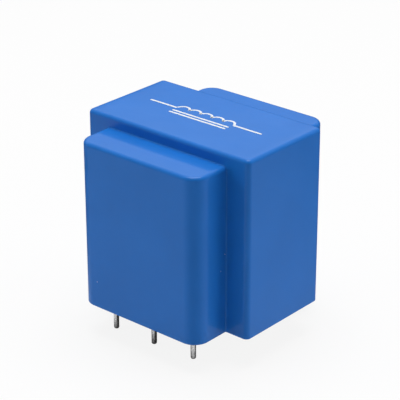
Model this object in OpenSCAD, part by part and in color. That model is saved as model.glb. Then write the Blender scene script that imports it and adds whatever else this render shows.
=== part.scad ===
// Potted audio inductor: an iron core and its coil, cast into a blue case on six pins.
// Millimetres, +Z up. The case stands on the plane z = 0 and the pins hang below it.
// The core sets the sizes of the coil former, and both set the sizes of the case.

/* [Core] */
// Width of the middle leg of an E sheet
tongue_w = 8; // [7:0.5:10]
// Width of the window on each side of the middle leg
window_w = 6; // [5:0.5:8]
// Height of the windows
window_h = 16.5; // [13:0.5:20]
// Width of the outer legs and of both yokes
yoke_w = 4; // [3.5:0.5:6]
// Thickness of the stack of sheets
stack_d = 14; // [11:0.5:17]
// Thickness of the spacer that keeps the air gap open
air_gap = 0.2; // [0.1:0.05:0.4]
// Height of the underside of the core above the foot of the case
core_lift = 1.2; // [0.9:0.1:2]

/* [Coil] */
// Wall of the tube of the coil former
tube_wall = 0.8; // [0.6:0.1:1.2]
// Outer corner radius of the tube
tube_corner_r = 0.5; // [0.3:0.1:0.7]
// Thickness of the flanges
flange_t = 1; // [0.7:0.1:1.5]
// How much further the flanges reach over the stack than into the windows
flange_extra = 0.3; // [0:0.05:0.6]
// How far the finished coil stays inside the edge of the flanges
coil_inset = 0.4; // [0.3:0.1:1]
// Thickness of the tape round the coil
tape_t = 0.2; // [0.1:0.05:0.4]
// Diameter of the wire
wire_d = 0.3; // [0.2:0.05:0.4]
// Turns of a lead round its pin
wrap_turns = 3; // [2:1:4]
// Height of a solder joint under the wrapped lead
solder_h = 0.25; // [0.15:0.05:0.4]
// Width of a solder joint round the pin at its lower end
solder_toe = 0.1; // [0.05:0.05:0.2]

/* [Pins] */
// Diameter of the pins
pin_d = 0.8; // [0.6:0.1:1]
// Distance between neighbours in a row
pin_pitch = 7.5; // [6:0.25:8]
// Distance from the outer face of a terminal rail to its row of pins
row_inset = 2.3; // [1.5:0.05:3]
// Length of the pins below the foot of the case
pin_out = 4.8; // [3:0.1:6]
// Length of the pins inside their terminal rail
pin_grip = 2.6; // [2:0.1:3]
// How far the square root of a pin shows out of the resin
root_show = 0.2; // [0.15:0.05:0.2]

/* [Case] */
// Thickness of the side walls
wall = 0.85; // [0.7:0.05:1.4]
// Thickness of the roofs
roof_t = 1.2; // [0.8:0.1:1.6]
// Step from the roof of the main block down to the roofs of the bulges
bulge_drop = 1.8; // [1.2:0.05:2.6]
// Upright edge radius of the main block
block_corner_r = 0.75; // [0.65:0.05:1.8]
// Upright edge radius of the bulges
bulge_corner_r = 2.4; // [2.2:0.1:3.6]
// Rounding along the upper edges of the main block
block_edge_r = 0.6; // [0.3:0.05:0.7]
// Rounding along the upper edges of the bulges
bulge_edge_r = 0.6; // [0.3:0.05:1]
// Hollow fillet where a bulge meets the main block
junction_r = 0.2; // [0.15:0.05:0.5]
// Corner radius inside the main block
block_in_r = 0.25; // [0.1:0.05:0.3]
// Depth of the resin surface inside the foot of the case
resin_recess = 0.4; // [0.2:0.1:0.6]

/* [Clearances] */
// Between the outer legs of the core and the walls
core_clear = 0.15; // [0.1:0.05:0.4]
// Between the faces of the stack and the walls
stack_clear = 0.3; // [0.1:0.05:0.4]
// Between the top of the core and the roof
roof_clear = 0.2; // [0.1:0.05:0.5]
// Between the flanges and the bulges
flange_clear = 0.35; // [0.2:0.05:0.6]
// Between the coil former and the core
former_clear = 0.1; // [0.05:0.05:0.2]
// Between the terminal rails and the stack
rail_clear = 0.25; // [0.15:0.05:0.4]
// On each side of a lead in its slot
lead_clear = 0.3; // [0.2:0.05:0.5]
// Resin under the solder joints
lead_cover = 0.3; // [0.2:0.05:0.6]

/* [Hidden] */
$fn = 64;
// How far a cut runs past the face that it opens
past = 1;
core_w = tongue_w + 2 * window_w + 2 * yoke_w;
spacer_base = core_lift + yoke_w;
legs_base = spacer_base + air_gap;
window_top = legs_base + window_h;
core_top = window_top + yoke_w;

tube_hole_w = tongue_w + 2 * former_clear;
tube_hole_d = stack_d + 2 * former_clear;
tube_w = tube_hole_w + 2 * tube_wall;
tube_d = tube_hole_d + 2 * tube_wall;
flange_w = tongue_w + 2 * (window_w - former_clear);
flange_d = stack_d + 2 * (window_w + flange_extra);
flange_corner_r = bulge_corner_r - wall - flange_clear;
former_base = legs_base + former_clear;
former_top = window_top - former_clear;
coil_base = former_base + flange_t;
coil_top = former_top - flange_t;
coil_build = (flange_w - tube_w) / 2 - coil_inset - tape_t;

// The root is pressed from the same round wire, so its section keeps the area
root_w = pin_d * sqrt(PI) / 2;
root_corner = root_w / sqrt(2);
root_base = resin_recess - root_show;
wrap_h = wrap_turns * wire_d;
wrap_r = root_corner + wire_d;
rail_foot = resin_recess + lead_cover + solder_h + wrap_h;
rail_inner = stack_d / 2 + rail_clear;
slot_w = wire_d + 2 * lead_clear;
slot_x = pin_pitch / 2;
front_row = row_inset - flange_d / 2;
start_y = -(tube_d + slot_w) / 2;
finish_y = -(tube_d - slot_w) / 2 - coil_build;

block_in_w = core_w + 2 * core_clear;
block_in_d = stack_d + 2 * stack_clear;
block_in_h = core_top + roof_clear;
bulge_in_w = flange_w + 2 * flange_clear;
bulge_in_d = flange_d + 2 * flange_clear;
bulge_in_r = bulge_corner_r - wall;
block_w = block_in_w + 2 * wall;
block_d = block_in_d + 2 * wall;
case_h = block_in_h + roof_t;
bulge_w = bulge_in_w + 2 * wall;
bulge_d = bulge_in_d + 2 * wall;
bulge_h = case_h - bulge_drop;

// Rectangle with rounded corners, centred
module rounded_rectangle(w, d, r) {
  square([w - 2 * r, d], center = true);
  square([w, d - 2 * r], center = true);
  for (sx = [-1, 1], sy = [-1, 1])
    translate([sx * (w / 2 - r), sy * (d / 2 - r)])
      circle(r);
}

// Upright prism on a rounded rectangle, between two heights
module rounded_prism(w, d, r, z0, z1) {
  translate([0, 0, z0])
    linear_extrude(z1 - z0)
      rounded_rectangle(w, d, r);
}

// Block, centred, between two heights
module block(w, d, z0, z1) {
  translate([-w / 2, -d / 2, z0])
    cube([w, d, z1 - z0]);
}

// Cross-section of a bar with both upper edges rounded
module shoulder_section(w, h, edge_r) {
  translate([-w / 2, 0])
    square([w, h - edge_r]);
  translate([edge_r - w / 2, 0])
    square([w - 2 * edge_r, h]);
  for (s = [-1, 1])
    translate([s * (w / 2 - edge_r), h - edge_r])
      circle(edge_r);
}

// Half of that cross-section, for turning
module post_section(r, h, edge_r) {
  square([r, h - edge_r]);
  square([r - edge_r, h]);
  intersection() {
    translate([r - edge_r, h - edge_r])
      circle(edge_r);
    square([r, h]);
  }
}

// Block with rounded upright edges and rounded upper edges: a post at each corner and two bars across
module shoulder_block(w, d, h, corner_r, edge_r) {
  for (sx = [-1, 1], sy = [-1, 1])
    translate([sx * (w / 2 - corner_r), sy * (d / 2 - corner_r), 0])
      rotate_extrude()
        post_section(corner_r, h, edge_r);
  rotate([90, 0, 90])
    linear_extrude(w - 2 * corner_r, center = true)
      shoulder_section(d, h, edge_r);
  rotate([90, 0, 0])
    linear_extrude(d - 2 * corner_r, center = true)
      shoulder_section(w, h, edge_r);
}

// Cross-section of a hollow fillet: x away from the bulge, y away from the main block, rooted in both
module fillet_section() {
  difference() {
    translate([-junction_r, -junction_r])
      square(2 * junction_r);
    translate([junction_r, junction_r])
      circle(junction_r);
  }
}

// Hollow fillet from the middle of a bulge's roof, over its rounded upper edge and down its side
module half_junction() {
  shoulder_x = bulge_w / 2 - bulge_edge_r;
  shoulder_z = bulge_h - bulge_edge_r;
  translate([0, 0, bulge_h])
    rotate([180, -90, 0])
      linear_extrude(shoulder_x)
        fillet_section();
  translate([shoulder_x, 0, shoulder_z])
    rotate([90, 0, 0])
      rotate_extrude(angle = 90)
        translate([bulge_edge_r, 0])
          fillet_section();
  translate([bulge_w / 2, 0, 0])
    linear_extrude(shoulder_z)
      mirror([0, 1])
        fillet_section();
}

// Room inside the case above a given height
module cavity(z0) {
  rounded_prism(block_in_w, block_in_d, block_in_r, z0, block_in_h);
  rounded_prism(bulge_in_w, bulge_in_d, bulge_in_r, z0, bulge_h - roof_t);
}

module case() {
  color("#2b66b0")
    difference() {
      union() {
        shoulder_block(block_w, block_d, case_h, block_corner_r, block_edge_r);
        shoulder_block(bulge_w, bulge_d, bulge_h, bulge_corner_r, bulge_edge_r);
        for (sx = [0, 1], sy = [0, 1])
          mirror([sx, 0, 0])
            mirror([0, sy, 0])
              translate([0, -block_d / 2, 0])
                half_junction();
      }
      cavity(-past);
    }
}

module core_e() {
  color("#6d6f74")
    difference() {
      block(core_w, stack_d, legs_base, core_top);
      for (s = [-1, 1])
        translate([s * (tongue_w + window_w) / 2, 0, 0])
          block(window_w, stack_d + 2 * past, legs_base - past, window_top);
    }
}

module core_i() {
  color("#6d6f74")
    block(core_w, stack_d, core_lift, spacer_base);
}

module gap_spacer() {
  color("#c9b48a")
    block(core_w, stack_d, spacer_base, legs_base);
}

// Coil former with its two terminal rails under the lower flange
module bobbin() {
  color("#e4dfd0")
    difference() {
      union() {
        rounded_prism(flange_w, flange_d, flange_corner_r, coil_top, former_top);
        rounded_prism(tube_w, tube_d, tube_corner_r, coil_base, coil_top);
        rounded_prism(flange_w, flange_d, flange_corner_r, rail_foot, coil_base);
      }
      block(flange_w + 2 * past, 2 * rail_inner, rail_foot - past, former_base);
      block(tube_hole_w, tube_hole_d, former_base - past, former_top + past);
      for (i = [1:6])
        pin(i);
      for (sx = [-1, 1], sy = [-1, 1])
        lead_slot(sx, sy);
    }
}

// Slot for a lead, from the edge of the lower flange in to the tube
module lead_slot(sx, sy) {
  translate([sx * slot_x, sy * (tube_d + flange_d + 2 * past) / 4, 0])
    block(slot_w, (flange_d + 2 * past - tube_d) / 2, rail_foot - past, coil_base);
}

module winding() {
  color("#b4642f")
    difference() {
      coil_body(coil_build);
      coil_body(0);
    }
}

module winding_tape() {
  color("#d8b23c")
    difference() {
      coil_body(coil_build + tape_t);
      coil_body(coil_build);
    }
}

// The tube, thickened by a given build of wire
module coil_body(build) {
  rounded_prism(tube_w + 2 * build, tube_d + 2 * build, tube_corner_r + build, coil_base, coil_top);
}

// Pins 1 to 3 stand in the front row from left to right, 4 to 6 in the rear row from right to left
function pin_x(i) = (i <= 3 ? i - 2 : 5 - i) * pin_pitch;
function pin_y(i) = i <= 3 ? front_row : -front_row;

// Round pin with a domed tip and a root pressed square, which can't turn in the rail
module pin(i) {
  dome_z = pin_d / 2 - pin_out;
  color("#b9bcbf")
    translate([pin_x(i), pin_y(i), 0]) {
      translate([0, 0, dome_z]) {
        sphere(d = pin_d);
        cylinder(d = pin_d, h = root_base - dome_z);
      }
      block(root_w, root_w, root_base, rail_foot + pin_grip);
    }
}

// End of the coil: down through its slot, across under the rail and round its pin
module lead(i, from_x, from_y) {
  run_z = rail_foot - wrap_h / 2;
  across = [pin_x(i) - from_x, pin_y(i) - from_y];
  color("#b4642f") {
    translate([from_x, from_y, run_z]) {
      cylinder(d = wire_d, h = coil_base - run_z);
      sphere(d = wire_d);
      rotate([0, 90, atan2(across.y, across.x)])
        cylinder(d = wire_d, h = norm(across) - (root_w + wire_d) / 2);
    }
    translate([pin_x(i), pin_y(i), rail_foot - wrap_h])
      pin_collar(wrap_r, wrap_r, wrap_h);
  }
}

// Ring that fits the root of a pin, with its own outer radius at each end
module pin_collar(r_low, r_high, h) {
  difference() {
    cylinder(r1 = r_low, r2 = r_high, h = h);
    block(root_w, root_w, -past, h + past);
  }
}

module solder(i) {
  color("#a9acb0")
    translate([pin_x(i), pin_y(i), rail_foot - wrap_h - solder_h])
      pin_collar(root_corner + solder_toe, wrap_r, solder_h);
}

module lead_start() {
  lead(1, -slot_x, start_y);
}

module lead_finish() {
  lead(3, slot_x, finish_y);
}

module solder_start() {
  solder(1);
}

module solder_finish() {
  solder(3);
}

// Resin that fills whatever the other pieces leave free
module potting_resin() {
  color("#22252b")
    difference() {
      cavity(resin_recess);
      core_e();
      core_i();
      gap_spacer();
      bobbin();
      coil_body(coil_build + tape_t);
      for (i = [1:6])
        pin(i);
      lead_start();
      lead_finish();
      solder_start();
      solder_finish();
    }
}

case();
potting_resin();
bobbin();
winding();
winding_tape();
core_e();
core_i();
gap_spacer();
pin(1);  // pin_1
pin(2);  // pin_2
pin(3);  // pin_3
pin(4);  // pin_4
pin(5);  // pin_5
pin(6);  // pin_6
lead_start();
lead_finish();
solder_start();
solder_finish();
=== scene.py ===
"""Potted audio inductor: a blue moulded case on six tinned pins, with its coil and core cast inside.

Metres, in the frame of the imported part: the foot of the case lies on z = 0, and the front row of pins faces
-Y. Shapes are worked out in millimetres and scaled once, where their mesh is made.
"""

from collections import namedtuple

import bmesh
import bpy
import numpy as np
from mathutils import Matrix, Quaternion, Vector


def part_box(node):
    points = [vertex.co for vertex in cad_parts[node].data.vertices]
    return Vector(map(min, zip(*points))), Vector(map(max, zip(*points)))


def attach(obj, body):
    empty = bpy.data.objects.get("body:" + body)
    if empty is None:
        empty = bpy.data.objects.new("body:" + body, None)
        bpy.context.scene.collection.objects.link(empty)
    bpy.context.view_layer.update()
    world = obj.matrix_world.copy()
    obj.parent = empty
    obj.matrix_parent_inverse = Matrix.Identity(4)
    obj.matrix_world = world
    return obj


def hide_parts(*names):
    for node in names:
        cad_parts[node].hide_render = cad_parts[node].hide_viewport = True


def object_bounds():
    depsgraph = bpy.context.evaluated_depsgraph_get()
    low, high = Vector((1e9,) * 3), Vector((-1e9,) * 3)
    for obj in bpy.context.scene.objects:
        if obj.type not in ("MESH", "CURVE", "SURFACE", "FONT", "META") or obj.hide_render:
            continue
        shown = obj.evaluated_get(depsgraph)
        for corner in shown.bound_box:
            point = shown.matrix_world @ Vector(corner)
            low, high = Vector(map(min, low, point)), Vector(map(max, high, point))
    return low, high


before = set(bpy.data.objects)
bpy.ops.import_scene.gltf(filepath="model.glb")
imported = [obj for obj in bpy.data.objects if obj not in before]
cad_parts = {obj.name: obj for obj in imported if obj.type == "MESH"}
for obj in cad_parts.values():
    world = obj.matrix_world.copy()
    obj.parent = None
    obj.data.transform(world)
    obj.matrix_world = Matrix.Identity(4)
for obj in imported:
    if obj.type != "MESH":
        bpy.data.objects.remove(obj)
cad_low, cad_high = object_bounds()
MM = 0.001
QUARTER_TURN = np.pi / 2


def corners_of(node):
    """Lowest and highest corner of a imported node, in millimetres."""
    low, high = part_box(node)
    return np.array(low) / MM, np.array(high) / MM


# Number of pins, and sizes in millimetres that the frame holds
PIN_COUNT = 6
case_high = corners_of("case")[1]
resin_low, resin_high = corners_of("potting_resin")
core_high = corners_of("core_e")[1]
former_high = corners_of("bobbin")[1]
coil_low, coil_high = corners_of("winding")
pin_boxes = {number: corners_of(f"pin_{number}") for number in range(1, PIN_COUNT + 1)}
pin_radius = (pin_boxes[1][1][0] - pin_boxes[1][0][0]) / 2
wall = case_high[0] - resin_high[0]
roof = case_high[2] - resin_high[2]

# Case: gaps to the core and the coil former, the step between the roofs, and roundings
STACK_GAP = 0.3
FLANGE_GAP = 0.35
BULGE_DROP = 1.8
BLOCK_CORNER = 0.75
BLOCK_EDGE = 0.6
BULGE_CORNER = 2.4
BULGE_EDGE = 0.6
JUNCTION = 0.2
INNER_CORNER = 0.25
SHARP = 0.02
FOOT_EDGE = 0.1

# How far the moulded walls draw in, as a share, in waves of these lengths and phases along x, y and z
SINK = 0.0012
SINK_WAVES = np.array([4.1, 5.3, 6.7])
SINK_PHASES = np.array([1.3, 0.4, 0.6])
SINK_FADE = 3.0

# Pins: bare length of the square root, its shoulder, the tip's power, shorter cuts, and ripple in the tin
ROOT_SHOW = 0.2
SHOULDER_BELOW = 0.02
SHOULDER_ABOVE = 0.03
SHOULDER_SQUARE = 0.6
TIP_POWER = 0.6
PIN_CUTS = {1: 0.05, 2: 0.15, 3: 0.45}
RIPPLE_DEPTH = 0.012
RIPPLE_TURNS = (5.1, 2.3)
RIPPLE_STEP = 1.7

# Resin: distance that counts as at the wall, film over the casting, creep at walls and pins, waves, dimples
AT_WALL = 1e-6
FILM = 0.04
WALL_CREEP = 0.2
WALL_CREEP_REACH = 0.45
PIN_CREEP = 0.16
PIN_CREEP_REACH = 0.3
RESIN_WAVE = 0.015
RESIN_WAVES = (2.7, 3.4)
RESIN_PHASES = (0.5, -0.8)
DIMPLES = 16
DIMPLE_AREA = (10, 12)
DIMPLE_WIDTHS = (0.25, 0.6)
DIMPLE_DEPTH = 0.02
DIMPLE_FALL = 4
DIMPLE_SEED = 7

# Coil: pitch of its turns, corner of the tube it is wound on, and depth of the winding
WIRE_PITCH = 0.32
TUBE_CORNER = 0.5
COIL_BUILD = 4.4

# Print: thickness and width of a stroke, ends and middle line of the sign, its arches and its two bars
INK_T = 0.015
INK_W = 0.36
SIGN_LEFT = -10.6
SIGN_RIGHT = 10.2
SIGN_Y = 0.5
ARCHES = 5
ARCH_R = 1.05
ARCH_LIFT = 0.12
BAR_DROPS = (1.0, 1.75)

# Half widths, half depths and heights of one skin of the case, with its roundings
Skin = namedtuple(
    "Skin",
    "block_x block_y block_z block_corner block_edge "
    "bulge_x bulge_y bulge_z bulge_corner bulge_edge junction",
)
outer_skin = Skin(
    block_x=case_high[0],
    block_y=core_high[1] + STACK_GAP + wall,
    block_z=case_high[2] - INK_T,
    block_corner=BLOCK_CORNER,
    block_edge=BLOCK_EDGE,
    bulge_x=former_high[0] + FLANGE_GAP + wall,
    bulge_y=case_high[1],
    bulge_z=case_high[2] - BULGE_DROP,
    bulge_corner=BULGE_CORNER,
    bulge_edge=BULGE_EDGE,
    junction=JUNCTION,
)
inner_skin = Skin(
    block_x=outer_skin.block_x - wall,
    block_y=outer_skin.block_y - wall,
    block_z=resin_high[2],
    block_corner=INNER_CORNER,
    block_edge=SHARP,
    bulge_x=outer_skin.bulge_x - wall,
    bulge_y=outer_skin.bulge_y - wall,
    bulge_z=outer_skin.bulge_z - roof,
    bulge_corner=BULGE_CORNER - wall,
    bulge_edge=SHARP,
    junction=SHARP,
)


# Meshes from grids of points, which are welded where they lie closer than this, in millimetres

WELD = 2e-4


def crowd_ends(start, stop, steps):
    """Values from start to stop on half a cosine wave, which sets them close together at both ends."""
    return start + (stop - start) * (1 - np.cos(np.linspace(0, np.pi, steps + 1))) / 2


def crowd_stop(start, stop, steps):
    """Values from start to stop on a quarter of a sine wave, which sets them close together at the end."""
    return start + (stop - start) * np.sin(np.linspace(0, QUARTER_TURN, steps + 1))


def join_patches(patches):
    """Points and four-sided faces of several grids, each an array of rows by columns by xyz."""
    points, faces, count = [], [], 0
    for patch in patches:
        rows, columns = patch.shape[:2]
        index = np.arange(rows * columns).reshape(rows, columns) + count
        around = [index[:-1, :-1], index[1:, :-1], index[1:, 1:], index[:-1, 1:]]
        faces.append(np.stack(around, axis=-1).reshape(-1, 4))
        points.append(patch.reshape(-1, 3))
        count += rows * columns
    return np.concatenate(points), np.concatenate(faces)


def all_quarters(patches):
    """The patches of the quarter with positive x and y, mirrored into the other three."""
    signs = [(1, 1, 1), (-1, 1, 1), (-1, -1, 1), (1, -1, 1)]
    return [patch * np.array(sign) for sign in signs for patch in patches]


def make_piece(name, patches, material, replaced=()):
    """One closed piece: the patches are welded along their seams, turned outwards and shaded smooth."""
    points, faces = join_patches(patches)
    mesh = bpy.data.meshes.new(name)
    mesh.from_pydata((points * MM).tolist(), [], faces.tolist())
    welded = bmesh.new()
    welded.from_mesh(mesh)
    bmesh.ops.remove_doubles(welded, verts=welded.verts, dist=WELD * MM)
    bmesh.ops.recalc_face_normals(welded, faces=welded.faces)
    welded.to_mesh(mesh)
    welded.free()
    mesh.shade_smooth()
    mesh.materials.append(material)
    piece = bpy.data.objects.new(name, mesh)
    bpy.context.scene.collection.objects.link(piece)
    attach(piece, "root")
    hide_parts(*replaced)


# Case

def quarter_arc(x, y, radius, steps):
    """Points and outward normals of a quarter circle that rounds the corner at (x, y)."""
    angle = np.linspace(0, QUARTER_TURN, steps + 1)
    normals = np.stack([np.cos(angle), np.sin(angle)], axis=-1)
    return np.array([x - radius, y - radius]) + radius * normals, normals


def side_and_corner(x, y, radius, y_values, steps):
    """Points and normals of a straight side at x, then of the rounded corner that ends it at (x, y)."""
    bend, bend_normals = quarter_arc(x, y, radius, steps)
    side = np.stack([np.full(len(y_values), x), y_values], axis=-1)
    side_normals = np.tile([1.0, 0.0], (len(y_values), 1))
    points = np.concatenate([side, bend[1:]])
    normals = np.concatenate([side_normals, bend_normals[1:]])
    return points, normals


def skirt(points, normals, inset, heights):
    """Rows of an outline: each is moved in along its normals by an inset and lifted to a height."""
    flat = points[None] - normals[None] * inset[:, None, None]
    lift = np.broadcast_to(heights[:, None, None], flat.shape[:2] + (1,))
    return np.concatenate([flat, lift], axis=-1)


def roof_sheet(edge, shares, height):
    """Flat roof: row by row of the edge's points, columns at shares of the edge's x."""
    x = edge[:, :1] * shares[None]
    y = np.broadcast_to(edge[:, 1:], x.shape)
    return np.stack([x, y, np.full_like(x, height)], axis=-1)


def case_skin(skin):
    """Quarter of one skin of the case as patches, and its foot outline.

    A block and a lower bulge are prisms on rounded outlines whose upper edges follow quarter circles.
    The hollow fillet where they meet is a quarter circle carried along the bulge's own profile:
    up its side, over its shoulder and along its roof. The block's front wall is drawn in straight lines
    from that fillet's edge out to the wall's edge.
    """
    half_arch = 5
    rise_steps = 24
    roof_steps = 14
    fillet_steps = 6
    wall_steps = 8
    edge_steps = 8
    side_steps = 10
    block_corner_steps = 10
    bulge_corner_steps = 20
    rise = crowd_ends(FOOT_EDGE, skin.bulge_z - skin.bulge_edge, rise_steps)
    arch = np.linspace(0, QUARTER_TURN, 2 * half_arch + 1)
    shares = np.cos(np.linspace(0, QUARTER_TURN, roof_steps + 1))
    shoulder_x = skin.bulge_x - skin.bulge_edge
    shoulder_z = skin.bulge_z - skin.bulge_edge
    block_top = skin.block_z - skin.block_edge
    corner_x = skin.block_x - skin.block_corner

    # Profile of the bulge, seen from the front, with outward normals
    profile_x = np.concatenate([np.full(len(rise), skin.bulge_x),
                                shoulder_x + skin.bulge_edge * np.cos(arch[1:]),
                                shoulder_x * shares[1:]])
    profile_z = np.concatenate([rise,
                                shoulder_z + skin.bulge_edge * np.sin(arch[1:]),
                                np.full(len(shares) - 1, skin.bulge_z)])
    normal_x = np.concatenate([np.ones(len(rise)), np.cos(arch[1:]), np.zeros(len(shares) - 1)])
    normal_z = np.concatenate([np.zeros(len(rise)), np.sin(arch[1:]), np.ones(len(shares) - 1)])

    # Hollow fillet along the profile
    turn = np.linspace(0, QUARTER_TURN, fillet_steps + 1)
    away = skin.junction * (1 - np.sin(turn))
    fillet_x = profile_x[:, None] + normal_x[:, None] * away
    fillet_z = profile_z[:, None] + normal_z[:, None] * away
    fillet_y = np.broadcast_to(skin.block_y + skin.junction * (1 - np.cos(turn)), fillet_x.shape)
    fillet = np.stack([fillet_x, fillet_y, fillet_z], axis=-1)

    # Edge of the front wall, with one point for each point of the profile
    upper = np.linspace(shoulder_z, block_top, half_arch + 1)[1:]
    over = np.linspace(corner_x, shoulder_x, half_arch + 1)[1:]
    top_line = np.concatenate([over, shoulder_x * shares[1:]])
    edge_x = np.concatenate([np.full(len(rise) + half_arch, corner_x), top_line])
    edge_z = np.concatenate([rise, upper, np.full(len(top_line), block_top)])
    across = crowd_ends(0, 1, wall_steps)
    front_x = fillet_x[:, :1] * (1 - across) + edge_x[:, None] * across
    front_z = fillet_z[:, :1] * (1 - across) + edge_z[:, None] * across
    front = np.stack([front_x, np.full_like(front_x, skin.block_y), front_z], axis=-1)

    # Block: side and corner, rounded upper edge and roof
    side_y = crowd_stop(0, skin.block_y - skin.block_corner, side_steps)
    block_edge, block_normals = side_and_corner(
        skin.block_x, skin.block_y, skin.block_corner, side_y, block_corner_steps)
    heights = np.concatenate([rise, upper])
    block_side = skirt(block_edge, block_normals, np.zeros(len(heights)), heights)
    along_front = np.stack([top_line, np.full(len(top_line), skin.block_y)], axis=-1)
    rim_edge = np.concatenate([block_edge, along_front])
    rim_normals = np.concatenate([block_normals, np.tile([0.0, 1.0], (len(top_line), 1))])
    bend = np.linspace(0, QUARTER_TURN, edge_steps + 1)
    block_round = skirt(rim_edge, rim_normals, skin.block_edge * (1 - np.cos(bend)),
                        block_top + skin.block_edge * np.sin(bend))
    block_roof = roof_sheet(block_edge - skin.block_edge * block_normals,
                            np.concatenate([[1.0], top_line / corner_x]), skin.block_z)

    # Bulge: side, corner and front with the rounded upper edge, and roof
    bulge_y = crowd_ends(skin.block_y + skin.junction, skin.bulge_y - skin.bulge_corner, wall_steps)
    bulge_edge, bulge_normals = side_and_corner(
        skin.bulge_x, skin.bulge_y, skin.bulge_corner, bulge_y, bulge_corner_steps)
    front_line = (skin.bulge_x - skin.bulge_corner) * shares[1:]
    bulge_front = np.stack([front_line, np.full(len(front_line), skin.bulge_y)], axis=-1)
    skirt_edge = np.concatenate([bulge_edge, bulge_front])
    skirt_normals = np.concatenate([bulge_normals, np.tile([0.0, 1.0], (len(front_line), 1))])
    inset = np.concatenate([np.zeros(len(rise)), skin.bulge_edge * (1 - np.cos(arch[1:]))])
    bulge_heights = np.concatenate([rise, shoulder_z + skin.bulge_edge * np.sin(arch[1:])])
    bulge_side = skirt(skirt_edge, skirt_normals, inset, bulge_heights)
    bulge_roof = roof_sheet(bulge_edge - skin.bulge_edge * bulge_normals, shares, skin.bulge_z)

    patches = [fillet, front, block_side, block_round, block_roof, bulge_side, bulge_roof]
    foot = np.concatenate([block_side[0], front[0, ::-1][1:], fillet[0, 1:], bulge_side[0, 1:]])
    return patches, foot


def settle(points):
    """Moulded walls draw in a little, by slow waves: points move towards the origin, but not at the foot."""
    wave = np.prod(np.sin(points / SINK_WAVES + SINK_PHASES), axis=-1)
    fade = np.clip((points[..., 2] - FOOT_EDGE) / SINK_FADE, 0, 1)
    return points * (1 - SINK * fade * (0.5 + 0.5 * wave))[..., None]


def foot_rim(outer, inner):
    """Foot of the wall between two outlines: a small rounding, the flat seat and a rounding inside."""
    bend_points = 5
    bend = np.linspace(0, QUARTER_TURN, bend_points)
    share = FOOT_EDGE / wall * (1 - np.cos(bend))
    drop = FOOT_EDGE * (1 - np.sin(bend))
    shares = np.concatenate([share, 1 - share[::-1]])
    heights = np.concatenate([drop, drop[::-1]])
    rim = outer[None] + (inner - outer)[None] * shares[:, None, None]
    rim[..., 2] = heights[:, None]
    return rim


def case_patches():
    """Outer skin, inner skin and the foot rim that joins them."""
    outer, outer_foot = case_skin(outer_skin)
    inner, inner_foot = case_skin(inner_skin)
    outside = [settle(patch) for patch in all_quarters(outer)]
    return outside + all_quarters(inner) + all_quarters([foot_rim(outer_foot, inner_foot)])


# Pins, resin, coil, print and dust

def pin_patch(number):
    """Pin as rings round its axis: height down the rows, angle along the columns.

    The tip is a flattened dome: sine and cosine of a quarter turn, each raised to a power below 1. The
    radius is nearly even along the leg, with a faint ripple in the tin that differs from pin to pin, and
    blends from a circle to a square at the root. Both ends close in a point.
    """
    dome_points = 11
    leg_points = 24
    round_points = 49
    low, high = pin_boxes[number]
    centre = (low + high) / 2
    tip = low[2] + PIN_CUTS.get(number, 0)
    root_half = pin_radius * np.sqrt(np.pi) / 2
    root_base = resin_low[2] - ROOT_SHOW
    dome = np.linspace(0, QUARTER_TURN, dome_points)[:-1]
    leg = np.linspace(tip + pin_radius, root_base - SHOULDER_BELOW, leg_points)
    root = np.array([root_base, root_base + SHOULDER_ABOVE, high[2], high[2]])
    heights = np.concatenate([tip + pin_radius * (1 - np.cos(dome) ** TIP_POWER), leg, root])
    size = np.concatenate([np.sin(dome) ** TIP_POWER, np.ones(len(leg)), [1, 1, 1, 0]])
    square = np.concatenate([np.zeros(len(dome) + len(leg)), [SHOULDER_SQUARE, 1, 1, 1]])
    angle = np.linspace(0, 2 * np.pi, round_points)
    one_way, other_way = np.multiply.outer(RIPPLE_TURNS, heights[:, None])
    ripple = np.sin(one_way + 2 * angle + RIPPLE_STEP * number) * np.sin(other_way - angle)
    round_r = pin_radius * (1 - RIPPLE_DEPTH * (1 + ripple))
    square_r = root_half / np.maximum(np.abs(np.cos(angle)), np.abs(np.sin(angle)))
    ring = size[:, None] * (round_r * (1 - square[:, None]) + square_r * square[:, None])
    x = centre[0] + ring * np.cos(angle)
    y = centre[1] + ring * np.sin(angle)
    return np.stack([x, y, np.broadcast_to(heights[:, None], x.shape)], axis=-1)


def depth_inside(x, y, half_x, half_y, radius):
    """How far points lie inside a rounded rectangle, measured to its nearest edge."""
    qx = np.abs(x) - (half_x - radius)
    qy = np.abs(y) - (half_y - radius)
    outside = np.hypot(np.maximum(qx, 0), np.maximum(qy, 0))
    return radius - outside - np.minimum(np.maximum(qx, qy), 0)


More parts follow.
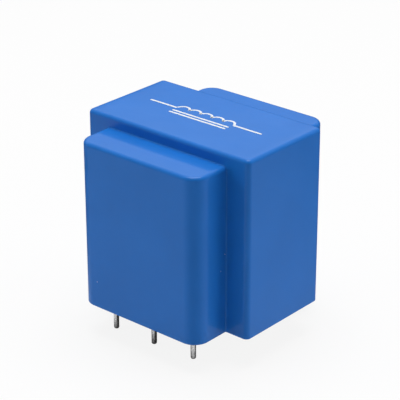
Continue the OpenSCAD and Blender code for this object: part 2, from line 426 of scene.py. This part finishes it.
def resin_patches():
    """Cast surface of the resin, as a sheet over the cavity: it creeps along the walls and round the pins.

    The sheet thins by an exponential of the distance to the nearest wall or pin, with slow waves and a few
    dimples left by bubbles. Its back is flat, lies on the resin behind it and meets the front at the walls.
    """
    across_points = 58
    wing_points = 24
    block_points = 40
    block_corner_points = 5
    bulge_points = 26
    bulge_corner_steps = 18
    skin = inner_skin
    shares = np.linspace(0, 1, across_points)
    corner_y = skin.block_y - skin.block_corner
    round_corner = skin.block_corner * np.sin(np.linspace(0, QUARTER_TURN, block_corner_points))[1:]
    block_y = np.concatenate([np.linspace(0, corner_y, block_points), corner_y + round_corner])
    corner_reach = np.clip((block_y - corner_y) / skin.block_corner, 0, 1)
    block_x = skin.block_x - skin.block_corner * (1 - np.sqrt(1 - corner_reach**2))
    bulge_y = np.linspace(skin.block_y, skin.bulge_y - skin.bulge_corner, bulge_points)
    bulge_edge = side_and_corner(
        skin.bulge_x, skin.bulge_y, skin.bulge_corner, bulge_y, bulge_corner_steps)[0]
    middle = roof_sheet(np.stack([np.full(len(block_y), skin.bulge_x), block_y], axis=-1), shares, 0)
    wing_x = skin.bulge_x + (block_x - skin.bulge_x)[:, None] * np.linspace(0, 1, wing_points)
    wing_y = np.broadcast_to(block_y[:, None], wing_x.shape)
    wing = np.stack([wing_x, wing_y, np.zeros_like(wing_x)], axis=-1)
    sheets = all_quarters([middle, wing, roof_sheet(bulge_edge, shares, 0)])

    pins = np.array([np.add(*box) / 2 for box in pin_boxes.values()])
    dice = np.random.default_rng(DIMPLE_SEED)
    dimples = dice.uniform(np.negative(DIMPLE_AREA), DIMPLE_AREA, (DIMPLES, 2))
    widths = dice.uniform(*DIMPLE_WIDTHS, DIMPLES)

    def cast(sheet):
        """Front and back of one sheet of the cavity's plan."""
        x, y = sheet[..., 0], sheet[..., 1]
        to_wall = np.maximum(depth_inside(x, y, skin.block_x, skin.block_y, skin.block_corner),
                             depth_inside(x, y, skin.bulge_x, skin.bulge_y, skin.bulge_corner))
        to_pin = np.min(np.hypot(x[..., None] - pins[:, 0], y[..., None] - pins[:, 1]), axis=-1)
        creep = WALL_CREEP * np.exp(-np.maximum(to_wall, 0) / WALL_CREEP_REACH)
        creep = creep + PIN_CREEP * np.exp(-np.maximum(to_pin - pin_radius, 0) / PIN_CREEP_REACH)
        waves = np.sin(x / RESIN_WAVES[0] + RESIN_PHASES[0]) * np.sin(y / RESIN_WAVES[1] + RESIN_PHASES[1])
        reach = ((x[..., None] - dimples[:, 0]) ** 2 + (y[..., None] - dimples[:, 1]) ** 2) / widths**2
        dents = DIMPLE_DEPTH * np.exp(-DIMPLE_FALL * reach).max(axis=-1)
        thickness = FILM + creep + RESIN_WAVE * waves - dents
        front = sheet.copy()
        front[..., 2] = resin_low[2] - thickness
        back = sheet.copy()
        back[..., 2] = resin_low[2] - np.where(to_wall < AT_WALL, thickness, 0)
        return front, back

    return [face for sheet in sheets for face in cast(sheet)]


def rounded_loop(half_x, half_y, radius, corner_steps):
    """Points and normals round a whole rounded rectangle, closed."""
    start = np.arange(4) * QUARTER_TURN
    angle = (start[:, None] + np.linspace(0, QUARTER_TURN, corner_steps + 1)).ravel()
    angle = np.append(angle, 2 * np.pi)
    quarter = (np.arange(4)[:, None] + np.zeros(corner_steps + 1)).ravel()
    quarter = np.append(quarter, 0)
    side_x = np.where((quarter == 0) | (quarter == 3), 1, -1)
    side_y = np.where(quarter < 2, 1, -1)
    normals = np.stack([np.cos(angle), np.sin(angle)], axis=-1)
    middles = np.stack([side_x * (half_x - radius), side_y * (half_y - radius)], axis=-1)
    return middles + radius * normals, normals


def coil_patch():
    """Wound coil: a closed profile carried round a rounded rectangle.

    The profile runs up the tube and comes back down as one half circle for each turn of the outer layer.
    """
    bend_points = 7
    corner_steps = 14
    height = coil_high[2] - coil_low[2]
    turns = int(height / WIRE_PITCH)
    pitch = height / turns
    bend = np.linspace(QUARTER_TURN, -QUARTER_TURN, bend_points)
    middles = coil_high[2] - pitch * (np.arange(turns) + 0.5)
    scallop_z = (middles[:, None] + pitch / 2 * np.sin(bend)).ravel()
    scallop_out = np.tile(COIL_BUILD - pitch / 2 + pitch / 2 * np.cos(bend), turns)
    out = np.concatenate([[0, 0], scallop_out, [0]])
    heights = np.concatenate([[coil_low[2], coil_high[2]], scallop_z, [coil_low[2]]])
    tube_x = coil_high[0] - COIL_BUILD
    tube_y = coil_high[1] - COIL_BUILD
    loop, normals = rounded_loop(tube_x, tube_y, TUBE_CORNER, corner_steps)
    flat = loop[None] + normals[None] * out[:, None, None]
    lift = np.broadcast_to(heights[:, None, None], flat.shape[:2] + (1,))
    return np.concatenate([flat, lift], axis=-1)


def ink_stroke(path):
    """Printed stroke: a flat section carried along a path, with its ends closed by half circles."""
    end_points = 8
    between_points = 160
    steps = np.hypot(*np.diff(path, axis=0).T)
    length = np.concatenate([[0], np.cumsum(steps)])
    radius = INK_W / 2
    ends = radius * (1 - np.cos(np.linspace(0, QUARTER_TURN, end_points)))
    between = np.linspace(radius, length[-1] - radius, between_points)[1:-1]
    where = np.concatenate([ends, between, length[-1] - ends[::-1]])
    x = np.interp(where, length, path[:, 0])
    y = np.interp(where, length, path[:, 1])
    ahead = np.stack([np.gradient(x, where), np.gradient(y, where)], axis=-1)
    ahead = ahead / np.linalg.norm(ahead, axis=-1, keepdims=True)
    aside = np.stack([-ahead[:, 1], ahead[:, 0]], axis=-1)
    to_end = np.minimum(where, length[-1] - where)
    half = radius * np.sqrt(1 - (1 - np.minimum(to_end / radius, 1)) ** 2)
    low, high = outer_skin.block_z - 2 * INK_T, case_high[2]
    sides = np.array([1, 1, -1, -1, 1])
    heights = np.array([low, high, high, low, low])
    flat = np.stack([x, y], axis=-1)[:, None] + aside[:, None] * half[:, None, None] * sides[:, None]
    lift = np.broadcast_to(heights[None, :, None], flat.shape[:2] + (1,))
    return np.concatenate([flat, lift], axis=-1)


def symbol_patches():
    """Generic circuit sign for a coil on an iron core: half circles between two lines, over two bars."""
    arch_points = 65
    line_points = 20
    start = (SIGN_LEFT + SIGN_RIGHT) / 2 - ARCHES * ARCH_R
    stop = start + 2 * ARCHES * ARCH_R
    swing = np.linspace(np.pi - ARCH_LIFT, ARCH_LIFT, arch_points)
    arch = np.stack([ARCH_R * np.cos(swing), SIGN_Y + ARCH_R * np.sin(swing)], axis=-1)
    paths = [arch + [start + ARCH_R * (2 * count + 1), 0] for count in range(ARCHES)]
    lines = [(SIGN_LEFT, start, SIGN_Y), (stop, SIGN_RIGHT, SIGN_Y)]
    lines += [(start, stop, SIGN_Y - drop) for drop in BAR_DROPS]
    paths += [np.linspace([x_start, y], [x_stop, y], line_points) for x_start, x_stop, y in lines]
    return [ink_stroke(path) for path in paths]


def speck_patch(place, normal, radius):
    """Speck of dust: half of a flat ball pressed on a wall, with its crown at the given place.

    Its height is half its radius, and its outline swells and shrinks by sine waves round the rim.
    """
    tilt_points = 9
    round_points = 25
    swell_twice = 0.25
    swell_thrice = 0.1
    tilt = np.concatenate([np.linspace(0, QUARTER_TURN, tilt_points), [QUARTER_TURN]])
    shrink = np.concatenate([np.ones(tilt_points), [0]])
    angle = np.linspace(0, 2 * np.pi, round_points)
    uneven = 1 + swell_twice * np.sin(2 * angle + place[2]) + swell_thrice * np.sin(3 * angle)
    out = radius / 2 * (np.cos(tilt) - 1)[:, None] * np.ones_like(angle)
    ring = radius * (np.sin(tilt) * shrink)[:, None] * uneven
    normal = np.array(normal, float)
    aside = np.cross(normal, [0, 0, 1])
    return (np.array(place) + out[..., None] * normal + (ring * np.cos(angle))[..., None] * aside
            + (ring * np.sin(angle))[..., None] * np.array([0, 0, 1.0]))


# Materials, whose colours and roughness spread over the values that noise mostly takes

NOISE_LOW = 0.3
NOISE_HIGH = 0.7


def add_node(tree, kind, inputs=(), **settings):
    """Shader node with its settings; an input takes a plain value or another node's output."""
    made = tree.nodes.new(kind)
    for key, value in settings.items():
        setattr(made, key, value)
    for key, value in dict(inputs).items():
        if isinstance(value, bpy.types.NodeSocket):
            tree.links.new(value, made.inputs[key])
        else:
            made.inputs[key].default_value = value
    return made


def start_material(name, **sockets):
    """Principled material with the constants that are the same all over set on its own sockets."""
    material = bpy.data.materials.new(name)
    material.use_nodes = True
    tree = material.node_tree
    tree.nodes.clear()
    shader = add_node(tree, "ShaderNodeBsdfPrincipled", sockets)
    add_node(tree, "ShaderNodeOutputMaterial", {"Surface": shader.outputs["BSDF"]})
    return material, tree, shader


def noise(tree, per_mm, detail=2.0, stretch=(1, 1, 1)):
    """Noise with so many lumps per millimetre, on object coordinates, drawn out where stretch is small."""
    place = add_node(tree, "ShaderNodeTexCoord")
    scaled = add_node(tree, "ShaderNodeMapping", {"Vector": place.outputs["Object"], "Scale": stretch})
    texture = add_node(tree, "ShaderNodeTexNoise",
                       {"Vector": scaled.outputs["Vector"], "Scale": per_mm / MM, "Detail": detail})
    return texture.outputs["Fac"]


def stripes(tree, per_mm, axis):
    """Even bands, so many per millimetre, across one axis of the object."""
    radians_a_unit = 20
    place = add_node(tree, "ShaderNodeTexCoord")
    scale = 2 * np.pi * per_mm / MM / radians_a_unit
    bands = add_node(tree, "ShaderNodeTexWave",
                     {"Vector": place.outputs["Object"], "Scale": scale, "Distortion": 0.0},
                     bands_direction=axis)
    return bands.outputs["Fac"]


def colour_between(tree, factor, dark, light, low=NOISE_LOW, high=NOISE_HIGH):
    """Colour that goes from dark to light as the factor goes from low to high."""
    ramp = add_node(tree, "ShaderNodeValToRGB", {"Fac": factor})
    ends = ramp.color_ramp.elements
    ends[0].position, ends[0].color = low, (*dark, 1)
    ends[1].position, ends[1].color = high, (*light, 1)
    return ramp.outputs["Color"]


def value_between(tree, factor, low, high):
    """Value that goes from low to high over the values that noise mostly takes."""
    spread = add_node(tree, "ShaderNodeMapRange",
                      {"Value": factor, "From Min": NOISE_LOW, "From Max": NOISE_HIGH,
                       "To Min": low, "To Max": high})
    return spread.outputs["Result"]


def bump(tree, height, depth_mm, under=None):
    """Bump of a given depth, on top of another bump where one is given."""
    inputs = {"Height": height, "Distance": depth_mm * MM, "Strength": 1.0}
    if under is not None:
        inputs["Normal"] = under
    return add_node(tree, "ShaderNodeBump", inputs).outputs["Normal"]


def finish_surface(tree, shader, colour, roughness, normal):
    """Links a material's colour, roughness and bump."""
    tree.links.new(colour, shader.inputs["Base Color"])
    tree.links.new(roughness, shader.inputs["Roughness"])
    tree.links.new(normal, shader.inputs["Normal"])


def case_plastic():
    """Satin blue plastic: a broad sheen under a thin, sharper gloss, faint clouding and a fine grain."""
    coat = {"Coat Weight": 0.5, "Coat Roughness": 0.07, "Coat IOR": 1.29}
    material, tree, shader = start_material("case_plastic", IOR=1.24, **coat)
    colour = colour_between(tree, noise(tree, 0.12), (0.0112, 0.154, 0.553), (0.0128, 0.1665, 0.591))
    roughness = value_between(tree, noise(tree, 0.35), 0.36, 0.42)
    peel = bump(tree, noise(tree, 0.4, 1.0), 0.0012)
    finish_surface(tree, shader, colour, roughness, bump(tree, noise(tree, 5.0, 3.0), 0.0004, peel))
    return material


def print_ink():
    """White printing ink, a little thin in places."""
    material, tree, shader = start_material("print_ink")
    colour = colour_between(tree, noise(tree, 3.0, 4.0), (0.72, 0.77, 0.85), (0.90, 0.91, 0.92))
    grain = noise(tree, 6.0, 3.0)
    finish_surface(tree, shader, colour, value_between(tree, grain, 0.45, 0.65), bump(tree, grain, 0.002))
    return material


def tinned_wire():
    """Tin on wire: uneven grains of bright and dull metal, over streaks drawn out along the pin."""
    material, tree, shader = start_material("tinned_wire", Metallic=1.0)
    streaks = noise(tree, 4.0, 4.0, (1, 1, 0.12))
    grain = noise(tree, 5.0, 3.0)
    colour = colour_between(tree, grain, (0.48, 0.48, 0.485), (0.95, 0.95, 0.955))
    roughness = value_between(tree, noise(tree, 2.5, 3.0), 0.10, 0.18)
    finish_surface(tree, shader, colour, roughness, bump(tree, grain, 0.02, bump(tree, streaks, 0.006)))
    return material


def cast_resin():
    """Dark casting resin, clouded, with a satin surface that is glossier in places."""
    material, tree, shader = start_material("cast_resin", IOR=1.5)
    cloud = noise(tree, 0.25, 4.0)
    colour = colour_between(tree, cloud, (0.011, 0.012, 0.015), (0.021, 0.022, 0.026), 0.1, 0.9)
    grain = noise(tree, 2.0, 4.0)
    finish_surface(tree, shader, colour, value_between(tree, cloud, 0.30, 0.44), bump(tree, grain, 0.004))
    return material


def sheet_steel():
    """Edges of stacked core sheets: bright and dull lines across the stack."""
    material, tree, shader = start_material("sheet_steel", Metallic=1.0)
    lines = stripes(tree, 1 / 0.35, "Y")
    colour = colour_between(tree, lines, (0.10, 0.10, 0.11), (0.30, 0.30, 0.32), 0.05, 0.3)
    roughness = value_between(tree, noise(tree, 1.5, 4.0), 0.35, 0.55)
    finish_surface(tree, shader, colour, roughness, bump(tree, lines, 0.03))
    return material


def enamelled_copper():
    """Copper wire under a clear red-brown enamel."""
    material, tree, shader = start_material("enamelled_copper", Metallic=0.9, **{"Coat Weight": 0.7})
    colour = colour_between(tree, noise(tree, 1.2, 3.0), (0.36, 0.10, 0.030), (0.52, 0.17, 0.055))
    grain = noise(tree, 4.0, 2.0)
    finish_surface(tree, shader, colour, value_between(tree, grain, 0.25, 0.38), bump(tree, grain, 0.003))
    return material


def coil_tape():
    """Amber polyester tape with lengthways drawing lines."""
    material, tree, shader = start_material("coil_tape", **{"Coat Weight": 0.4})
    lines = noise(tree, 1.5, 3.0, (0.15, 0.15, 1))
    colour = colour_between(tree, lines, (0.55, 0.32, 0.045), (0.68, 0.42, 0.070))
    finish_surface(tree, shader, colour, value_between(tree, lines, 0.22, 0.34), bump(tree, lines, 0.006))
    return material


def former_plastic():
    """Natural moulded plastic of the coil former."""
    material, tree, shader = start_material("former_plastic", IOR=1.45)
    colour = colour_between(tree, noise(tree, 0.3, 3.0), (0.66, 0.62, 0.50), (0.76, 0.73, 0.62))
    grain = noise(tree, 4.0, 3.0)
    finish_surface(tree, shader, colour, value_between(tree, grain, 0.42, 0.56), bump(tree, grain, 0.003))
    return material


def spacer_paper():
    """Pressed insulating paper with short fibres."""
    material, tree, shader = start_material("spacer_paper")
    fibres = noise(tree, 3.0, 5.0, (0.3, 1, 1))
    colour = colour_between(tree, fibres, (0.48, 0.35, 0.19), (0.62, 0.49, 0.29))
    finish_surface(tree, shader, colour, value_between(tree, fibres, 0.7, 0.9), bump(tree, fibres, 0.01))
    return material


def joint_solder():
    """Solder that set with a slightly frosted skin."""
    material, tree, shader = start_material("joint_solder", Metallic=1.0)
    frost = noise(tree, 5.0, 4.0)
    colour = colour_between(tree, frost, (0.38, 0.385, 0.39), (0.55, 0.555, 0.56))
    finish_surface(tree, shader, colour, value_between(tree, frost, 0.3, 0.45), bump(tree, frost, 0.008))
    return material


def pale_dust():
    """Pale, fibrous dust."""
    material, tree, shader = start_material("pale_dust")
    fluff = noise(tree, 12.0, 3.0)
    colour = colour_between(tree, fluff, (0.45, 0.55, 0.72), (0.75, 0.80, 0.88))
    finish_surface(tree, shader, colour, value_between(tree, fluff, 0.8, 1.0), bump(tree, fluff, 0.01))
    return material


# The pieces

blue = case_plastic()
tin = tinned_wire()
resin = cast_resin()
steel = sheet_steel()
copper = enamelled_copper()
solder = joint_solder()

make_piece("case_shell", case_patches(), blue, ["case"])
for number in pin_boxes:
    node = f"pin_{number}"
    make_piece(f"{node}_wire", [pin_patch(number)], tin, [node])
make_piece("resin_surface", resin_patches(), resin)
make_piece("wound_coil", [coil_patch()], copper, ["winding"])
make_piece("printed_symbol", symbol_patches(), print_ink())

# Specks of dust on the front bulge: place, direction of the wall and radius
specks = [
    ((-7.82, -outer_skin.bulge_y, 4.14), (0, -1, 0), 0.10),
    ((outer_skin.bulge_x, -8.42, 12.4), (1, 0, 0), 0.10),
    ((outer_skin.bulge_x, -9.27, 10.04), (1, 0, 0), 0.08),
]
make_piece("dust_specks", [speck_patch(*speck) for speck in specks], pale_dust())

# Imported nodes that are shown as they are, with their finishes
node_finishes = {
    "potting_resin": resin,
    "bobbin": former_plastic(),
    "winding_tape": coil_tape(),
    "core_e": steel,
    "core_i": steel,
    "gap_spacer": spacer_paper(),
    "lead_start": copper,
    "lead_finish": copper,
    "solder_start": solder,
    "solder_finish": solder,
}
for node, finish in node_finishes.items():
    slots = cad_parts[node].data.materials
    slots.clear()
    slots.append(finish)


# Camera, floor and light

CAMERA_YAW = np.radians(40.726)
CAMERA_PITCH = np.radians(24.497)
CAMERA_ROLL = np.radians(0.08)
CAMERA_AIM = Vector((-0.607, -0.085, 14.287)) * MM
CAMERA_DISTANCE = 250.09 * MM
SENSOR_W = 36.0
FOCAL_PIXELS = 1721.0
IMAGE_W = 400

# Reaches of the ramps that gloss sees: cosines of headings, and millimetres along the floor
BEHIND_SPAN = (-0.3, 0.6)
ABOVE_SPAN = (0.28, 0.44)
NEAR_SPAN = (-0.95, -0.45)
FAR_SPAN = (-4.0, 18.0)
RIGHT_SPAN = (10.0, 35.0)

# Shade under the object: how far off something covers the floor, and the open shares from dark to clear
SHADE_REACH = 12.0
SHADE_SPAN = (0.32, 0.75)


def direction(yaw, pitch):
    """Unit vector from the object: yaw 0 points along -Y and a quarter turn along +X."""
    return Vector((np.sin(yaw) * np.cos(pitch), -np.cos(yaw) * np.cos(pitch), np.sin(pitch)))


def place_camera():
    """Camera that looks at its aim from the photograph's side, turned by a slight roll."""
    back = direction(CAMERA_YAW, CAMERA_PITCH)
    data = bpy.data.cameras.new("camera")
    data.sensor_width = SENSOR_W
    data.lens = SENSOR_W * FOCAL_PIXELS / IMAGE_W
    data.clip_start = 0.01
    camera = bpy.data.objects.new("camera", data)
    camera.location = CAMERA_AIM + back * CAMERA_DISTANCE
    camera.rotation_mode = "QUATERNION"
    level = (-back).to_track_quat("-Z", "Y")
    camera.rotation_quaternion = level @ Quaternion((0, 0, 1), -CAMERA_ROLL)
    bpy.context.scene.collection.objects.link(camera)
    bpy.context.scene.camera = camera


def soft_lamp(name, yaw_deg, pitch_deg, distance, size, level, shines):
    """Square lamp that faces the object, at the level to which it lights a white card there.

    A lamp that doesn't shine only fills in, and shows in no gloss.
    """
    data = bpy.data.lights.new(name, "AREA")
    data.shape = "SQUARE"
    data.size = size
    data.energy = level * np.pi**2 * distance**2
    away = direction(np.radians(yaw_deg), np.radians(pitch_deg))
    lamp = bpy.data.objects.new(name, data)
    lamp.location = Vector((0, 0, case_high[2] / 2 * MM)) + away * distance
    lamp.rotation_mode = "QUATERNION"
    lamp.rotation_quaternion = away.to_track_quat("Z", "Y")
    lamp.visible_glossy = shines
    bpy.context.scene.collection.objects.link(lamp)


def ray_kinds(tree):
    """Two factors: 1 for rays from the camera, and 1 for rays off a gloss or through glass."""
    path = add_node(tree, "ShaderNodeLightPath")
    bent = add_node(tree, "ShaderNodeMath",
                    {0: path.outputs["Is Glossy Ray"], 1: path.outputs["Is Transmission Ray"]},
                    operation="MAXIMUM")
    return path.outputs["Is Camera Ray"], bent.outputs[0]


def product(tree, first, *others):
    """Product of several values."""
    for other in others:
        first = add_node(tree, "ShaderNodeMath", {0: first, 1: other}, operation="MULTIPLY").outputs[0]
    return first


def mixed(tree, factor, first, second):
    """Shader that goes from the first to the second as the factor goes from 0 to 1."""
    return add_node(tree, "ShaderNodeMixShader", {0: factor, 1: first, 2: second}).outputs["Shader"]


def ramp_along(tree, place, axis, reach, levels):
    """Value that goes from one level to another as places move along an axis through a given reach."""
    along = add_node(tree, "ShaderNodeVectorMath", {0: place, 1: axis}, operation="DOT_PRODUCT")
    ramp = add_node(tree, "ShaderNodeMapRange",
                    {"Value": along.outputs["Value"], "From Min": reach[0], "From Max": reach[1],
                     "To Min": levels[0], "To Max": levels[1]},
                    interpolation_type="SMOOTHSTEP")
    return ramp.outputs["Result"]


def light_world(level, near_level, far_level):
    """White surroundings that light the object at a low, even level.

    The camera sees plain white. Gloss and glass see a pale sweep behind the object, which starts above the
    horizon, and dimmer surroundings elsewhere.
    """
    world = bpy.data.worlds.new("surroundings")
    world.use_nodes = True
    tree = world.node_tree
    tree.nodes.clear()
    from_camera, bent = ray_kinds(tree)
    place = add_node(tree, "ShaderNodeTexCoord").outputs["Generated"]
    behind = ramp_along(tree, place, -direction(CAMERA_YAW, 0), BEHIND_SPAN, (0.0, 1.0))
    above = ramp_along(tree, place, (0, 0, 1), ABOVE_SPAN, (0.0, 1.0))
    sweep = product(tree, behind, above)
    gloss_level = add_node(tree, "ShaderNodeMapRange",
                           {"Value": sweep, "To Min": near_level, "To Max": far_level})
    unseen = add_node(tree, "ShaderNodeMix",
                      {"Factor": bent, "A": level, "B": gloss_level.outputs["Result"]})
    strength = add_node(tree, "ShaderNodeMix",
                        {"Factor": from_camera, "A": unseen.outputs["Result"], "B": 1.0})
    white = add_node(tree, "ShaderNodeBackground",
                     {"Color": (1, 1, 1, 1), "Strength": strength.outputs["Result"]})
    add_node(tree, "ShaderNodeOutputWorld", {"Surface": white.outputs["Background"]})
    bpy.context.scene.world = world


def lay_floor(half_size, camera_lift, near_share, right_share, gloss_levels):
    """Pale floor under the pin tips: most of what the camera sees is white, the rest keeps the shadow.

    A gloss sees painted levels on it: palest to the left of the object, dimmer to the right, towards the
    camera and behind the object, and a painted shadow under it. It can't be seen from below, so that views
    from there show the underside.
    """
    height = cad_low.z
    ring = half_size * np.array([[-1, -1], [1, -1], [1, 1], [-1, 1]])
    mesh = bpy.data.meshes.new("floor")
    mesh.from_pydata(np.column_stack([ring, np.full(4, height)]).tolist(), [], [(0, 1, 2, 3)])
    material = bpy.data.materials.new("floor")
    material.use_nodes = True
    tree = material.node_tree
    tree.nodes.clear()
    from_camera, bent = ray_kinds(tree)
    matt = add_node(tree, "ShaderNodeBsdfDiffuse", {"Color": (0.8, 0.8, 0.8, 1)})
    white = add_node(tree, "ShaderNodeEmission", {"Color": (1, 1, 1, 1), "Strength": 1.0})
    lift = product(tree, from_camera, camera_lift)
    shown = mixed(tree, lift, matt.outputs["BSDF"], white.outputs["Emission"])

    # Level that gloss sees, all painted: painted dimming on headings from the bulge's near corner to the
    # camera, behind and right, times a painted shadow under the object worked out from how much covers the
    # floor there
    place = add_node(tree, "ShaderNodeTexCoord").outputs["Object"]
    away = -direction(CAMERA_YAW, 0)
    sideways = direction(CAMERA_YAW + QUARTER_TURN, 0)
    corner = (outer_skin.bulge_x * MM, -outer_skin.bulge_y * MM, height)
    from_corner = add_node(tree, "ShaderNodeVectorMath", {0: place, 1: corner}, operation="SUBTRACT")
    heading = add_node(tree, "ShaderNodeVectorMath", {0: from_corner.outputs["Vector"]},
                       operation="NORMALIZE")
    near = ramp_along(tree, heading.outputs["Vector"], away, NEAR_SPAN, (near_share, 1.0))
    far = ramp_along(tree, place, away, np.multiply(FAR_SPAN, MM), gloss_levels)
    right = ramp_along(tree, place, sideways, np.multiply(RIGHT_SPAN, MM), (1.0, right_share))
    open_share = add_node(tree, "ShaderNodeAmbientOcclusion", {"Distance": SHADE_REACH * MM}, samples=8)
    dark, clear_sky = SHADE_SPAN
    shade = add_node(tree, "ShaderNodeMapRange",
                     {"Value": open_share.outputs["AO"], "From Min": dark, "From Max": clear_sky},
                     interpolation_type="SMOOTHSTEP")
    gloss_level = product(tree, near, right, far, shade.outputs["Result"])
    mirrored = add_node(tree, "ShaderNodeEmission", {"Color": (1, 1, 1, 1), "Strength": gloss_level})
    upper = mixed(tree, bent, shown, mirrored.outputs["Emission"])

    clear = add_node(tree, "ShaderNodeBsdfTransparent")
    side = add_node(tree, "ShaderNodeNewGeometry")
    both = mixed(tree, side.outputs["Backfacing"], upper, clear.outputs["BSDF"])
    add_node(tree, "ShaderNodeOutputMaterial", {"Surface": both})
    mesh.materials.append(material)
    floor = bpy.data.objects.new("floor", mesh)
    bpy.context.scene.collection.objects.link(floor)


place_camera()
lay_floor(half_size=1.5, camera_lift=0.88, near_share=0.35, right_share=0.75, gloss_levels=(0.78, 0.08))
light_world(level=0.13, near_level=0.12, far_level=1.18)
soft_lamp("lamp_above", yaw_deg=221, pitch_deg=83, distance=0.5, size=0.35, level=1.0, shines=True)
soft_lamp("lamp_left", yaw_deg=-45, pitch_deg=20, distance=0.5, size=0.3, level=0.25, shines=False)
soft_lamp("lamp_right", yaw_deg=128, pitch_deg=20, distance=0.5, size=0.3, level=0.355, shines=False)
bpy.context.scene.view_settings.view_transform = "Standard"
